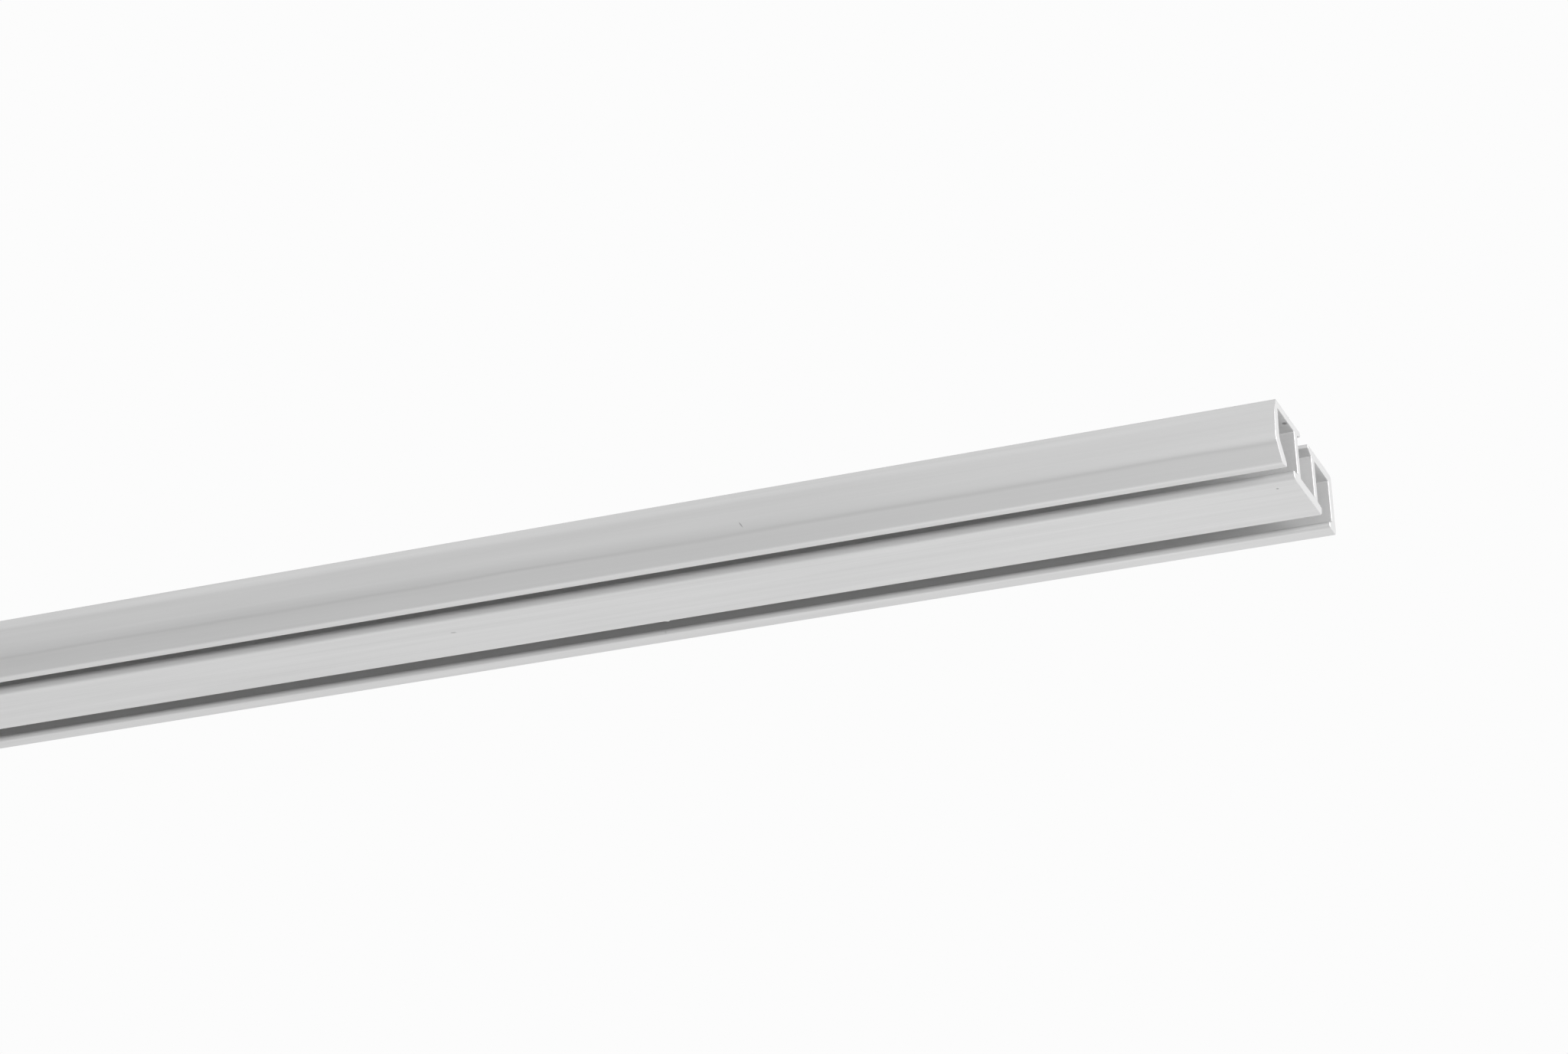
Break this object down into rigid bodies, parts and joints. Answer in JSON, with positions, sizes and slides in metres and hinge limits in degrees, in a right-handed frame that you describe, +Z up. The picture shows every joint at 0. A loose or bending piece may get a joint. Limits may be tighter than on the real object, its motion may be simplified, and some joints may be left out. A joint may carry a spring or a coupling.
{
  "type": "curtain track",
  "caption": "Double-channel extruded aluminium curtain track, with two glider channels open below and a T-slot on top for ceiling clips.",
  "frame": {"origin": "middle of the underside: half the length, half the overall width, at the level of the back wall's lower face, which is the lowest", "axes": "+X along the rail, +Y from the bowed front wall to the straight back wall, +Z up to the ceiling"},
  "size_m": [0.6, 0.034, 0.009],
  "materials": {
    "rail": "mill-finish extruded, satin"
  },
  "bodies": {
    "root": {"rail_profile": "rail"}
  },
  "joints": []
}
